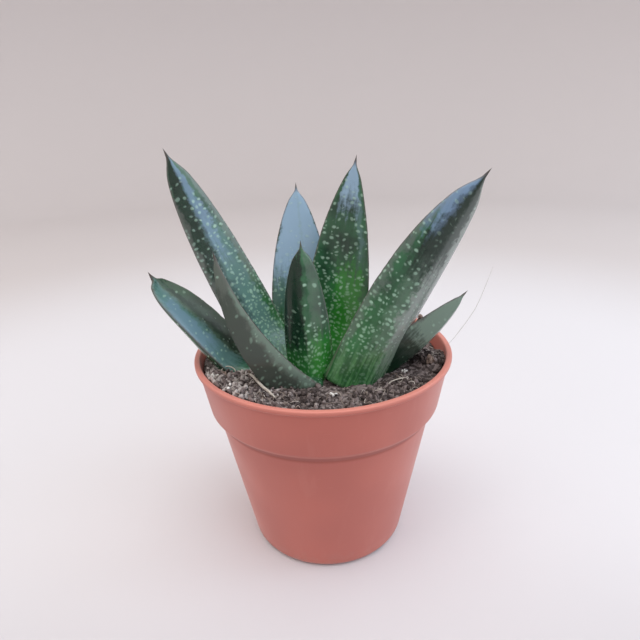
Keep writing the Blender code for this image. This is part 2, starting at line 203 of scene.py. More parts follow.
# Each leaf's shape in millimetres and degrees, and its look. Slim, point and hook are finer than in the
# part; the other sizes are the part's.
# base: where its middle line leaves the soil, seen from above. tip: the end of its point. face: the compass
# direction that its upper face looks to, counted from +X towards +Y. bow and sweep: how far its middle
# stands out behind its back, and sideways, from the straight line.
# full and blunt: two powers that keep the width up towards the tip. slim: the share of the length that
# narrows to the point. heel: how far the foot is filled out towards the stem. point: the point's radius,
# where it isn't POINT_RADIUS. hook: how far the leaf sags before its tip turns up again, where it does.
# spots: how many of the possible spots show on the face, at the foot and at the tip. back: the same on the
# back. bright: how far the foot turns to a clear green. sheath: how strongly the foot pales, and up to what
# height. gloss: how strongly the skin mirrors.
# tints: bands along the leaf, each as tint, side, strength, place across, width, start and end. Most tints
# paint reflection and shade into the skin, as TINTS says. Places across go from -1 to 1 between the edges;
# start and end are shares of the length.
POINT_RADIUS = 0.42
LEAVES = {
    "leaf_heart": dict(
        base=(-3.5, -14), tip=(-5.6, -8, 108.2), face=90, bow=1.0, sweep=0.3,
        width=14.5, thick=6.0, hollow=0.6, keel=0.55, full=2.8, blunt=0.7, slim=0.1, heel=6,
        spots=(0.9, 0.5), back=(1.5, -0.5), bright=0.55, sheath=(0.3, 6), gloss=0.45,
        tints=[
            ("grey", "back", 0.3, 0.6, 0.7, 0.4, 0.9),
            ("clear", "back", 0.5, 0.6, 0.8, -0.2, 0.35),
            ("shade", "back", 0.8, -0.5, 0.9, 0.3, 0.95),
        ]),
    "leaf_upright": dict(
        base=(3.0, -5), tip=(12.2, 4, 131.0), face=258, bow=1.3, sweep=-1.2,
        width=22.0, thick=7.0, hollow=0.9, keel=0.5, full=2.4, blunt=0.88, slim=0.08, heel=8,
        spots=(1.4, 0.75), back=(0.7, 0.2), bright=0.6, sheath=(0.3, 6), gloss=0.5,
        tints=[
            ("clear", "face", 0.8, 0.35, 0.8, 0.15, 0.5),
            ("shade", "face", 0.2, -0.1, 1.2, 0.5, 0.85),
            ("painted_teal_reflection", "face", 0.5, 0.7, 0.2, 0.55, 0.9),
            ("painted_sky_reflection", "face", 0.8, 0.0, 1.3, 0.8, 1.2),
        ]),
    "leaf_back": dict(
        base=(-6.0, -1), tip=(-7.1, 16, 122.0), face=275, bow=1.0, sweep=0.0,
        width=21.0, thick=6.2, hollow=0.9, keel=0.5, full=2.8, blunt=0.82, slim=0.07, heel=9,
        spots=(0.9, 0.35), back=(0.5, 0.15), bright=0.5, sheath=(0.5, 6), gloss=0.5,
        tints=[
            ("painted_teal_reflection", "face", 0.5, 0.0, 1.9, 0.3, 1.2),
            ("painted_sky_reflection", "face", 0.9, 0.0, 1.92, 0.52, 1.2),
            ("pale", "face", 0.4, 0.12, 0.12, 0.6, 0.95),
        ]),
    "leaf_left": dict(
        base=(-12.5, -9), tip=(-44.9, 0, 135.0), face=312, bow=1.6, sweep=0.5,
        width=17.2, thick=7.5, hollow=0.8, keel=0.4, full=3.3, blunt=0.68, slim=0.11, heel=8,
        spots=(1.4, 0.55), back=(0.5, 0.15), bright=0.4, sheath=(0.3, 6), gloss=0.5,
        tints=[
            ("shade", "face", 0.78, -0.5, 0.85, 0.12, 1.2),
            ("dust", "face", 0.75, -1.0, 0.42, 0.1, 0.8),
            ("grey", "face", 0.5, 0.85, 0.35, 0.4, 1.2),
            ("painted_teal_reflection", "face", 0.6, 0.22, 0.9, 0.12, 0.7),
            ("painted_blue_reflection", "face", 0.52, 0.14, 0.5, 0.56, 0.985),
        ]),
    "leaf_right": dict(
        base=(10.0, -15), tip=(48.4, -12, 127.5), face=110, bow=-2.5, sweep=1.3,
        width=22.0, thick=8.0, hollow=0.8, keel=0.3, full=3.8, blunt=0.8, slim=0.13, heel=9,
        spots=(0.7, 0.2), back=(1.2, 0.2), bright=0.25, sheath=(0.95, 13), gloss=0.38,
        tints=[
            ("painted_grey_sheen", "back", 0.15, 0.25, 1.3, 0.1, 0.9),
            ("painted_grey_sheen", "back", 0.9, 0.55, 1.15, 0.12, 1.0),
            ("grey", "back", 0.45, -0.92, 0.25, 0.1, 0.85),
            ("shade", "back", 0.95, -0.08, 1.0, 0.56, 0.97),
            ("painted_blue_reflection", "back", 0.75, -0.75, 0.7, 0.74, 0.965),
        ]),
    "leaf_front_left": dict(
        base=(-7.5, -17), tip=(-28.9, -23, 109.3), face=54, bow=4.5, sweep=0.5,
        width=17.6, thick=8.5, hollow=0.8, keel=0.6, full=1.3, blunt=1.05, slim=0.05, heel=5,
        spots=(0.7, 0.2), back=(0.5, 0.0), bright=0.0, sheath=(0.3, 4), gloss=0.3,
        tints=[
            ("dust", "back", 0.8, 0.0, 2.4, 0.0, 1.2),
            ("shade", "back", 0.35, 0.3, 0.8, 0.1, 0.8),
            ("pale", "back", 0.5, 0.9, 0.3, 0.05, 0.8),
        ]),
    "leaf_low_right": dict(
        base=(14.5, -9), tip=(45.5, -8, 90.7), face=127, bow=1.6, sweep=0.0,
        width=18.0, thick=6.0, hollow=0.6, keel=0.6, full=2.9, blunt=0.87, slim=0.08, heel=11,
        spots=(0.6, 0.2), back=(0.25, 0.1), bright=0.1, sheath=(0.3, 4), gloss=0.25,
        tints=[
            ("dust", "back", 0.9, 0.0, 2.4, 0.35, 1.2),
            ("pale", "back", 0.7, -0.3, 1.3, 0.45, 0.95),
            ("shade", "back", 0.78, 0.1, 2.6, -0.3, 0.5),
            ("shade", "back", 0.6, -0.05, -0.1, 0.2, 0.8),
        ]),
    "leaf_low_left": dict(
        base=(-24.4, -8), tip=(-52.9, -6, 99.4), face=-17, bow=-0.9, sweep=0.0,
        width=16.8, thick=7.7, hollow=0.5, keel=0.4, full=3.6, blunt=0.5, slim=0.03, heel=11,
        spots=(0.3, 0.2), back=(0.25, 0.1), bright=0.0, sheath=(0.2, 3), gloss=0.3,
        point=0.85, hook=1.4,
        tints=[
            ("grey", "face", 0.35, 0.55, 1.5, 0.1, 0.9),
            ("shade", "face", 0.45, 0.15, 0.3, 0.1, 0.9),
            ("painted_teal_reflection", "face", 0.75, -0.75, 1.2, 0.15, 0.95),
            ("painted_blue_reflection", "face", 0.4, -0.7, 0.7, 0.35, 0.8),
            ("shade", "face", 0.9, 0.0, 3.0, 0.97, 1.3),
        ]),
    "leaf_low_back": dict(
        base=(1.0, 8), tip=(4.0, 31, 92.0), face=270, bow=1.5, sweep=0.0,
        width=16.5, thick=6.5, hollow=0.7, keel=0.5, full=2.6, blunt=0.75, slim=0.1, heel=10,
        spots=(0.7, 0.2), back=(0.6, 0.2), bright=0.3, sheath=(0.6, 6), gloss=0.4,
        tints=[
            ("grey", "back", 0.4, 0.5, 0.9, -0.2, 1.2),
            ("painted_blue_reflection", "face", 0.5, 0.0, 1.2, 0.4, 1.2),
        ]),
}

# Colours are linear.
LEAF_DARK = (0.014, 0.047, 0.026)
LEAF_GREEN = (0.030, 0.120, 0.052)
LEAF_CLEAR = (0.026, 0.230, 0.020)
LEAF_GREY = (0.125, 0.160, 0.138)
LEAF_FOOT = (0.064, 0.195, 0.066)
LEAF_SHEATH = (0.020, 0.085, 0.028)
SPOT = (0.320, 0.500, 0.380)
SPOT_CLEAR = (0.200, 0.460, 0.190)
MARGIN = (0.120, 0.105, 0.100)
LEAF_POINT = (0.060, 0.048, 0.042)
# Each tint's colour, and how far it covers the spots as well.
TINTS = {
    "clear": (LEAF_CLEAR, 0.0),
    # shade is painted shade: near-black bands where a facet of the leaf looks dark.
    "shade": ((0.005, 0.018, 0.011), 0.72),
    # grey is partly the leaf's own grey-green and partly painted reflection of the pale room on facets.
    "grey": (LEAF_GREY, 0.5),
    # Painted sheen: a pale grey band where the leaf's side catches the window's light.
    "painted_grey_sheen": ((0.210, 0.248, 0.222), 0.7),
    "dust": ((0.098, 0.108, 0.094), 0.5),
    "pale": ((0.200, 0.310, 0.240), 0.3),
    # Painted reflection: blue-green where a facet mirrors the pale room.
    "painted_teal_reflection": ((0.105, 0.200, 0.200), 0.4),
    # Painted reflection: the window's blue light on the glossy skin, as a band.
    "painted_blue_reflection": ((0.180, 0.275, 0.410), 0.35),
    # Painted reflection: the pale blue of the sky on upper faces near the tips.
    "painted_sky_reflection": ((0.290, 0.430, 0.570), 0.6),
}
TERRACOTTA = (0.495, 0.125, 0.089)
TERRACOTTA_DULL = (0.450, 0.117, 0.087)
FLOW_MARK = (0.58, 0.22, 0.17)
SCUFF = (0.72, 0.38, 0.32)
POT_DUST = (0.42, 0.30, 0.25)
# Painted shade: the dark line where the collar's step meets the wall.
STEP_PAINTED_SHADE = (0.26, 0.050, 0.034)
# Painted highlight: the paler top of the lip.
LIP_PAINTED_HIGHLIGHT = (0.74, 0.36, 0.29)
PLASTIC_SHEEN = (1.0, 0.86, 0.84)
SOIL_DARK = (0.050, 0.039, 0.037)
SOIL_BROWN = (0.190, 0.155, 0.148)
SOIL_DRY = (0.430, 0.390, 0.370)
# Where the soil is driest and palest, in millimetres.
DRY_PLACE = (-29, -22, 69)
FIBRE_BROWN = (0.11, 0.080, 0.065)
FIBRE_TAN = (0.27, 0.225, 0.195)
FIBRE_GREY = (0.52, 0.475, 0.43)
ROOT_PALE = ((0.36, 0.32, 0.27), (0.54, 0.50, 0.44))
GRAIN_WHITE = ((0.62, 0.60, 0.56), (0.80, 0.78, 0.75))
BARK_BROWN = ((0.10, 0.068, 0.054), (0.30, 0.225, 0.185))
STEM_GREEN = (0.26, 0.33, 0.14)
STEM_SCAR = (0.15, 0.10, 0.05)

# Spots on the leaves, in millimetres: the cells' pitch and the spots' size.
LARGE_SPOTS = (2.1, 0.88)
SMALL_SPOTS = (1.5, 0.62)
SMALL_SPOTS_SHIFT = (31.7, 12.3, 0)
# How far up the sheath fades out, in millimetres, and how much noise makes its upper edge ragged.
SHEATH_FADE = 4.5
SHEATH_RAGGED = 9.0

# The floor, a sheet of revolution.
FLOOR_FLAT = 750 * MM
FLOOR_BEND = 350 * MM
FLOOR_TOP = 950 * MM
FLOOR_STEPS = 128
BEND_STEPS = 24
# Painted light: a paler pool on the floor round the pot.
FLOOR_PAINTED_LIGHT_POOL = (0.670, 0.655, 0.672)
FLOOR_NEAR = (0.620, 0.608, 0.625)
# Painted shade: the floor darker towards the front.
FLOOR_FRONT_PAINTED_SHADE = (0.480, 0.462, 0.475)
FLOOR_FAR = (0.520, 0.485, 0.480)

# Soft lights, all aimed at LIGHT_AIM: azimuth (0 is in front, 90 to the right) and elevation in degrees,
# distance, width and height in metres, colour, radiance, and whether reflections show them. A light that
# comes through a wide diffuser shows in none.
LIGHT_AIM = Vector((0, 0, 90)) * MM
LIGHTS = {
    "window": (57, 34, 1.0, 1.2, 0.5, (0.80, 0.88, 1.0), 2.4, False),
    "window_pane": (90, 33, 1.0, 0.4, 0.6, (0.70, 0.85, 1.0), 2.4, True),
    "window_behind": (122, 38, 1.0, 0.55, 0.5, (0.76, 0.88, 1.0), 1.2, True),
    "ceiling": (0, 84, 1.3, 1.4, 1.1, (1.0, 0.96, 0.93), 1.6, True),
    "fill_left": (-80, 36, 1.0, 1.2, 0.7, (1.0, 0.95, 0.94), 1.4, False),
}
HORIZON_LIGHT = (0.54, 0.50, 0.49)
OVERHEAD_LIGHT = (0.85, 0.83, 0.82)

# The camera stands in front and looks down; it sees the plant as from a phone held close.
CAMERA_PLACE = Vector((0, -163.1, 143.8)) * MM
CAMERA_AIM = Vector((-0.6, 0, 79.2)) * MM
CAMERA_ROLL = math.radians(-1.99)
CAMERA_LENS = 29.81
FILM_WIDTH = 36
CLIP_START = 10 * MM


# ---- materials

class Graph:
    """The nodes of a material or world. An input may be a number, a colour or another node's socket."""

    def __init__(self, owner):
        owner.use_nodes = True
        self.owner = owner
        self.tree = owner.node_tree

    def put(self, value, socket):
        if isinstance(value, bpy.types.NodeSocket):
            self.tree.links.new(value, socket)
        elif isinstance(value, tuple) and socket.type == "RGBA":
            socket.default_value = (*value, 1)
        else:
            socket.default_value = value

    def add(self, kind, inputs, **settings):
        made = self.tree.nodes.new(kind)
        for name, value in settings.items():
            setattr(made, name, value)
        for name, value in inputs.items():
            self.put(value, made.inputs[name])
        return made

    def shade(self, **values):
        """Sets up the material's shader and returns the material."""
        for name, value in values.items():
            self.put(value, self.tree.nodes["Principled BSDF"].inputs[name.replace("_", " ")])
        return self.owner

    def math(self, operation, *inputs):
        return self.add("ShaderNodeMath", dict(enumerate(inputs)), operation=operation).outputs[0]

    def times(self, product, *factors):
        for factor in factors:
            product = self.math("MULTIPLY", product, factor)
        return product

    def plus(self, one, other):
        return self.math("ADD", one, other)

    def minus(self, one, other):
        return self.math("SUBTRACT", one, other)

    def vector(self, operation, *inputs):
        return self.add("ShaderNodeVectorMath", dict(enumerate(inputs)), operation=operation).outputs

    def mix(self, share, one, other, kind="RGBA"):
        """The first colour where share is 0, the other where it is 1."""
        inputs = {"Factor": share, "A": one, "B": other}
        return self.add("ShaderNodeMix", inputs, data_type=kind).outputs["Result"]

    def blend(self, share, one, other):
        """The same for numbers."""
        return self.mix(share, one, other, "FLOAT")

    def coats(self, colour, *coats):
        """Lays colours over one another, each as strongly as its share says."""
        for share, coat in coats:
            colour = self.mix(share, colour, coat)
        return colour

    def ramp(self, value, low, high, least=0.0, most=1.0):
        """least below low and most above high, smooth between them; low may be greater than high."""
        inputs = {"Value": value, "From Min": low, "From Max": high, "To Min": least, "To Max": most}
        return self.add("ShaderNodeMapRange", inputs, interpolation_type="SMOOTHSTEP").outputs["Result"]

    def attribute(self, name):
        return self.add("ShaderNodeAttribute", {}, attribute_name=name).outputs["Fac"]

    def place(self):
        """The object's own coordinates in millimetres."""
        return self.scale(self.add("ShaderNodeTexCoord", {}).outputs["Object"], (1 / MM, 1 / MM, 1 / MM))

    def part(self, vector, axis):
        return self.add("ShaderNodeSeparateXYZ", {0: vector}).outputs[axis]

    def scale(self, vector, factors=(1, 1, 1), shift=(0, 0, 0)):
        inputs = {"Vector": vector, "Scale": factors, "Location": shift}
        return self.add("ShaderNodeMapping", inputs).outputs["Vector"]

    def cells(self, vector, pitch, randomness, dimensions="3D"):
        inputs = {"Vector": vector, "Scale": 1 / pitch, "Randomness": randomness}
        made = self.add("ShaderNodeTexVoronoi", inputs, voronoi_dimensions=dimensions)
        dice = self.add("ShaderNodeSeparateColor", {"Color": made.outputs["Color"]})
        return made.outputs["Distance"], dice.outputs

    def noise(self, vector, size, detail=3.0, roughness=0.55):
        """Noise from 0 to 1 whose lumps are about this size, in the vector's own unit."""
        inputs = {"Vector": vector, "Scale": 1 / size, "Detail": detail, "Roughness": roughness}
        return self.add("ShaderNodeTexNoise", inputs).outputs["Fac"]

    def bump(self, height, distance, strength, *below):
        """Raises the skin by a height, over another bump if one is given."""
        inputs = {"Height": height, "Distance": distance, "Strength": strength}
        inputs.update(("Normal", normal) for normal in below)
        return self.add("ShaderNodeBump", inputs).outputs["Normal"]


def material(name):
    return Graph(bpy.data.materials.new(name))


def spots(graph, where, pitch, size, shown):
    """Round spots, one to a cell of this pitch; shown is the share of the cells that have one."""
    away, dice = graph.cells(where, pitch, 0.72, "2D")
    radius = graph.math("MULTIPLY_ADD", dice["Red"], 0.30 * size / pitch, 0.32 * size / pitch)
    softness = 0.25 / pitch
    disc = graph.ramp(away, graph.plus(radius, softness), graph.minus(radius, softness))
    clearness = graph.blend(dice["Blue"], 0.55, 1.0)
    present = graph.math("LESS_THAN", dice["Green"], shown)
    return graph.times(disc, clearness, present)


def leaf_spots(graph, leaf, flat, along, back):
    """How strongly a pale spot shows: large ones, and small ones that grow fewer towards the tip."""
    wander = graph.add("ShaderNodeTexNoise", {"Vector": flat, "Scale": 0.26, "Detail": 1.0}).outputs["Color"]
    drift = graph.vector("MULTIPLY_ADD", wander, (2, 2, 2), (-1, -1, -1))[0]
    wavy = graph.vector("ADD", flat, drift)[0]
    shown = graph.blend(back, graph.blend(along, *leaf["spots"]), graph.blend(along, *leaf["back"]))
    shown = graph.times(shown, graph.ramp(graph.noise(flat, 9.0, 1.0), 0.25, 0.65, 0.65, 1.1))
    large = spots(graph, graph.scale(wavy, (0.84, 1.1, 1)), *LARGE_SPOTS, graph.times(shown, 0.85))
    crowd = graph.times(shown, graph.ramp(along, 0.8, 0.1))
    small = spots(graph, graph.scale(wavy, shift=SMALL_SPOTS_SHIFT), *SMALL_SPOTS, crowd)
    both = graph.math("MAXIMUM", large, graph.times(small, 0.75))
    return graph.times(both, graph.ramp(along, 0.97, 0.9))


def tint_share(graph, tint, uneven, along, across, back):
    """How strongly a tint shows: a band with uneven edges on one side, between two places along the leaf."""
    _, side, strength, offset, width, start, stop = tint
    there = back if side == "back" else graph.minus(1.0, back)
    away = graph.math("ABSOLUTE", graph.minus(across, offset))
    band = graph.ramp(graph.plus(away, uneven), width / 2 + 0.40, width / 2 + 0.20)
    low = graph.ramp(along, start - 0.09, start + 0.09)
    high = graph.ramp(along, stop + 0.06, stop - 0.06)
    return graph.times(band, low, high, there, strength)


def leaf_tints(graph, leaf, flat, streaks, along, back):
    """The leaf's bands, each as how strongly it shows, its colour and how far it covers the spots."""
    lumps = graph.noise(flat, 2.0, 5.0, 0.65)
    uneven = graph.times(lumps, 0.6)
    ragged = graph.times(graph.minus(graph.plus(streaks, lumps), 1.0), 0.26)
    sway = graph.times(graph.minus(graph.noise(flat, 6.0), 0.5), 0.6)
    ragged = graph.plus(along, ragged)
    swaying = graph.plus(graph.attribute("across"), sway)
    shares = [tint_share(graph, tint, uneven, ragged, swaying, back) for tint in leaf["tints"]]
    return [(share, *TINTS[tint[0]]) for share, tint in zip(shares, leaf["tints"])]


def leaf_skin(name, leaf):
    """Glossy dark green with pale spots, bands of other greens, painted reflections and painted shade,
    grey-brown edges and point.
    """
    graph = material(name + "_skin")
    flat = graph.add("ShaderNodeUVMap", {}, uv_map="skin").outputs["UV"]
    along = graph.attribute("along")
    back = graph.attribute("back")
    streaks = graph.noise(graph.scale(flat, (1.0, 0.09, 1)), 1.1)
    tints = leaf_tints(graph, leaf, flat, streaks, along, back)

    clear = graph.ramp(along, 0.55, 0.08, 0, leaf["bright"])
    green = graph.mix(graph.ramp(graph.noise(flat, 6.0), 0.3, 0.7), LEAF_DARK, LEAF_GREEN)
    green = graph.coats(green, (clear, LEAF_CLEAR), (graph.ramp(streaks, 0.45, 0.75, 0, 0.16), LEAF_GREY))
    green = graph.coats(green, *[(share, colour) for share, colour, _ in tints])
    strength, top = leaf["sheath"]
    ragged = graph.times(graph.noise(graph.scale(flat, (1, 0.3, 1)), 1.6, 2.0), SHEATH_RAGGED)
    sheath = graph.ramp(graph.plus(graph.attribute("rise"), ragged), top + SHEATH_FADE, top, 0, strength)
    green = graph.mix(sheath, green, graph.mix(graph.ramp(streaks, 0.38, 0.6), LEAF_SHEATH, LEAF_FOOT))

    bare = graph.minus(1.0, graph.times(sheath, 0.8))
    spotted = graph.times(leaf_spots(graph, leaf, flat, along, back), bare)
    skin = graph.mix(graph.times(spotted, 0.85), green, graph.mix(clear, SPOT, SPOT_CLEAR))
    skin = graph.coats(skin, *[(graph.times(share, over), colour) for share, colour, over in tints])
    edge = graph.plus(graph.attribute("margin"), graph.times(graph.noise(flat, 1.6), 0.8))
    line = graph.ramp(edge, 1.15, 0.5, 0, 0.6)
    skin = graph.coats(skin, (line, MARGIN), (graph.ramp(along, 0.94, 0.985), LEAF_POINT))

    dull = graph.ramp(graph.noise(flat, 2.2, 4.0), 0.3, 0.75, 0.17, 0.27)
    roughness = graph.plus(dull, graph.times(spotted, 0.12))
    cells = graph.bump(graph.noise(flat, 0.35, 2.0), 0.02 * MM, 0.35)
    veins = graph.bump(streaks, 0.10 * MM, 0.4, cells)
    raised = graph.bump(spotted, 0.06 * MM, 0.9, veins)
    return graph.shade(Base_Color=skin, Roughness=roughness, Normal=raised, Specular_IOR_Level=leaf["gloss"],
                       Coat_Weight=0.4 * leaf["gloss"], Coat_Roughness=0.15)


def pot_plastic():
    """Thin terracotta-coloured plastic: satin, with scuffs, flow marks, a little dust at the foot, painted
    shade under the collar and a painted highlight along the lip.
    """
    graph = material("pot_plastic_satin")
    place = graph.place()
    height = graph.part(place, "Z")
    clouds = graph.ramp(graph.noise(place, 26.0, 1.0), 0.3, 0.7)
    flow = graph.ramp(graph.noise(graph.scale(place, (1.0, 1.0, 0.12)), 4.0), 0.55, 0.75, 0, 0.12)
    dusty = graph.ramp(graph.noise(place, 3.0, 4.0), 0.4, 0.7, 0, 0.22)
    dust = graph.times(graph.ramp(height, 9.0, 0.0), dusty)
    scuffs = graph.ramp(graph.noise(graph.scale(place, (0.25, 0.25, 1.6)), 0.9, 4.0), 0.62, 0.78)
    # Painted shade: a darker, rougher band round the step under the collar.
    from_corner = graph.math("ABSOLUTE", graph.minus(height, STEP_BOTTOM_Z / MM + 0.9))
    painted_step_shade = graph.ramp(from_corner, 2.2, 0.6)
    # Painted highlight: the lip grows paler towards its top.
    painted_lip_highlight = graph.ramp(height, POT_HEIGHT / MM - 1.6, POT_HEIGHT / MM, 0, 0.3)
    colour = graph.mix(clouds, TERRACOTTA, TERRACOTTA_DULL)
    colour = graph.coats(colour, (flow, FLOW_MARK), (dust, POT_DUST), (graph.times(scuffs, 0.10), SCUFF),
                         (graph.times(painted_step_shade, 0.6), STEP_PAINTED_SHADE), (painted_lip_highlight, LIP_PAINTED_HIGHLIGHT))
    roughness = graph.plus(graph.blend(clouds, 0.38, 0.5), graph.times(scuffs, 0.12))
    roughness = graph.plus(roughness, graph.times(painted_step_shade, 0.35))
    grain = graph.bump(graph.noise(place, 0.5, 2.0), 0.015 * MM, 0.5)
    ripple = graph.bump(graph.noise(place, 16.0, 1.0), 0.3 * MM, 0.12, grain)
    return graph.shade(Base_Color=colour, Roughness=roughness, Normal=ripple, Specular_IOR_Level=0.55,
                       Sheen_Weight=0.15, Sheen_Roughness=0.5, Sheen_Tint=PLASTIC_SHEEN)


def soil_mix(name, tone):
    """Peat in greys and browns. tone sets each crumb's own shade: an attribute's name, or "cells"."""
    graph = material(name)
    place = graph.place()
    tone = graph.cells(place, 0.9, 1.0)[1]["Red"] if tone == "cells" else graph.attribute(tone)
    fine = graph.minus(graph.times(graph.noise(place, 0.7, 4.0), 0.6), 0.3)
    from_dry = graph.vector("DISTANCE", place, DRY_PLACE)["Value"]
    shade = graph.plus(graph.plus(tone, fine), graph.ramp(from_dry, 24.0, 7.0, -0.13, 0.26))
    # Painted shade: the soil darker towards +X, on the right.
    shade = graph.minus(shade, graph.ramp(graph.part(place, "X"), 0.0, 28.0, 0, 0.1))
    colour = graph.mix(graph.ramp(shade, 0.1, 0.65), SOIL_DARK, SOIL_BROWN)
    colour = graph.mix(graph.ramp(shade, 0.75, 1.05), colour, SOIL_DRY)
    rough = graph.bump(graph.noise(place, 0.6, 5.0), 0.25 * MM, 0.9)
    return graph.shade(Base_Color=colour, Roughness=0.95, Normal=rough, Specular_IOR_Level=0.2)


def plain_grain(name, colours, roughness=0.8):
    """Two close colours in fine grain, for roots, grains and bark."""
    graph = material(name)
    place = graph.place()
    colour = graph.mix(graph.ramp(graph.noise(place, 0.8), 0.3, 0.7), *colours)
    rough = graph.bump(graph.noise(place, 0.25), 0.08 * MM, 0.7)
    return graph.shade(Base_Color=colour, Roughness=roughness, Normal=rough, Specular_IOR_Level=0.3)


def fibre_mix():
    """Dry root hairs and peat fibres, each in its own shade from dark brown to pale grey."""
    graph = material("fibre_mixed")
    tone = graph.attribute("tone")
    colour = graph.mix(graph.ramp(tone, 0.0, 0.6), FIBRE_BROWN, FIBRE_TAN)
    colour = graph.mix(graph.ramp(tone, 0.6, 1.0), colour, FIBRE_GREY)
    rough = graph.bump(graph.noise(graph.place(), 0.25), 0.05 * MM, 0.7)
    return graph.shade(Base_Color=colour, Roughness=0.8, Normal=rough, Specular_IOR_Level=0.3)


def stem_bark():
    """Pale green tissue with brown rings where leaves have come away."""
    graph = material("stem_tissue_scarred")
    rings = graph.noise(graph.scale(graph.place(), (0.15, 0.15, 1.4)), 1.0)
    colour = graph.mix(graph.ramp(rings, 0.4, 0.65), STEM_GREEN, STEM_SCAR)
    return graph.shade(Base_Color=colour, Roughness=0.7, Normal=graph.bump(rings, 0.3 * MM, 0.8))


def floor_sheet():
    """Plain and pale, with a painted pool of light round the pot, painted shade towards the front, and
    deeper at the back.
    """
    graph = material("floor_pale")
    place = graph.place()
    away = graph.vector("LENGTH", place)["Value"]
    # Painted light: paler towards the pot.
    colour = graph.mix(graph.ramp(away, 10.0, 170.0), FLOOR_PAINTED_LIGHT_POOL, FLOOR_NEAR)
    # Painted shade: darker towards the front.
    colour = graph.mix(graph.ramp(graph.part(place, "Y"), -110.0, 0.0), FLOOR_FRONT_PAINTED_SHADE, colour)
    colour = graph.mix(graph.ramp(away, 230.0, 480.0), colour, FLOOR_FAR)
    return graph.shade(Base_Color=colour, Roughness=0.75)


# ---- meshes

def add_object(name, data):
    made = bpy.data.objects.new(name, data)
    bpy.context.scene.collection.objects.link(made)
    return made


def add_mesh(name, points, faces, look):
    mesh = bpy.data.meshes.new(name)
    mesh.from_pydata([tuple(point) for point in points], [], faces)
    mesh.update()
    mesh.materials.append(look)
    mesh.shade_smooth()
    return add_object(name, mesh)


def belongs(piece, slot, *nodes):
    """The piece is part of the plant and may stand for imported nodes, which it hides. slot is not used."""
    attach(piece, BODY)
    if nodes:
        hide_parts(*nodes)
    return piece


def keep_values(mesh, name, values):
    made = mesh.attributes.new(name, "FLOAT", "POINT")
    made.data.foreach_set("value", values)


def polar(radius, angle):
    return radius * math.cos(angle), radius * math.sin(angle)


def ring(points, radius, steps, height):
    """Adds a ring round Z, or one point on it, and returns the points' numbers. height may be a function."""
    numbers = []
    for step in range(steps if radius else 1):
        angle = 2 * math.pi * step / steps
        x, y = polar(radius, angle)
        numbers.append(len(points))
        points.append((x, y, height(x, y) if callable(height) else height))
    return numbers


def skin(rings, steps):
    faces = []
    for low, high in zip(rings, rings[1:]):
        for step in range(steps):
            after = (step + 1) % steps
            lower = [low[step % len(low)], low[after % len(low)]]
            upper = [high[after % len(high)], high[step % len(high)]]
            faces.append(list(dict.fromkeys(lower + upper)))
    return faces


def turned(name, profile, steps, look, middle=Vector()):
    """A shape turned round an upright line from a profile of (radius, height)."""
    points = []
    rings = [ring(points, radius, steps, height) for radius, height in profile]
    return add_mesh(name, [Vector(point) + middle for point in points], skin(rings, steps), look)


def rounded(profile, radius, steps=4):
    """A profile of (radius, height) with each inner corner turned into a small curve."""
    path = [Vector(point) for point in profile]
    smooth = [path[0]]
    for before, corner, after in zip(path, path[1:], path[2:]):
        reach = min(radius, 0.45 * (before - corner).length, 0.45 * (after - corner).length)
        start = corner + (before - corner).normalized() * reach
        end = corner + (after - corner).normalized() * reach
        for step in range(steps + 1):
            t = step / steps
            smooth.append((1 - t) ** 2 * start + 2 * t * (1 - t) * corner + t * t * end)
    smooth.append(path[-1])
    return [(max(0.0, point.x), point.y) for point in smooth]


# ---- pot

def wall_inset():
    slope = (STEP_BOTTOM_RADIUS - FOOT_CORNER_RADIUS) / (STEP_BOTTOM_Z - FOOT_CORNER_Z)
    return WALL * math.sqrt(1 + slope * slope)


def inner_profile(clearance):
    inset = wall_inset() + clearance
    floor_z = FLOOR_RECESS + FLOOR_THICK
    return [
        (FOOT_RADIUS - inset + 0.6 * MM, floor_z + clearance),
        (FOOT_CORNER_RADIUS - inset + 0.2 * MM, floor_z + FLOOR_FILLET + clearance),
        (STEP_BOTTOM_RADIUS - inset, STEP_BOTTOM_Z + clearance),
        (COLLAR_BOTTOM_RADIUS - inset, COLLAR_BOTTOM_Z + clearance),
    ]


def mouth_radius(z):
    share = (z - COLLAR_BOTTOM_Z) / (POT_HEIGHT - COLLAR_BOTTOM_Z)
    return COLLAR_BOTTOM_RADIUS + share * (RIM_RADIUS - LIP_PROUD - COLLAR_BOTTOM_RADIUS)


def free_radius(z, margin):
    """How far from the pot's middle something may lie at this height."""
    return mouth_radius(z) - wall_inset() - margin


def pot_profile():
    lip_bottom = POT_HEIGHT - LIP_HEIGHT
    underside = [
        (0, 0),
        (PAD_RADIUS, 0),
        (PAD_RADIUS + FOOT_RING_DRAFT, FLOOR_RECESS),
        (FOOT_RADIUS - FOOT_RING_WIDTH - FOOT_RING_DRAFT, FLOOR_RECESS),
        (FOOT_RADIUS - FOOT_RING_WIDTH, 0),
    ]
    outside = [
        (FOOT_RADIUS, 0),
        (FOOT_RADIUS + 1.3 * MM, 0.7 * MM),
        (FOOT_CORNER_RADIUS - 0.25 * MM, 1.8 * MM),
        (FOOT_CORNER_RADIUS, FOOT_CORNER_Z),
        (STEP_BOTTOM_RADIUS, STEP_BOTTOM_Z),
        (COLLAR_BOTTOM_RADIUS, COLLAR_BOTTOM_Z),
        (mouth_radius(lip_bottom), lip_bottom),
        (RIM_RADIUS, lip_bottom + 0.35 * MM),
        (RIM_RADIUS, POT_HEIGHT),
        (mouth_radius(POT_HEIGHT) - wall_inset(), POT_HEIGHT),
    ]
    floor_z = FLOOR_RECESS + FLOOR_THICK
    inside = [(0, floor_z), (PAD_RADIUS, floor_z)] + inner_profile(0)
    return rounded(underside + outside + inside[::-1], LIP_ROUND)


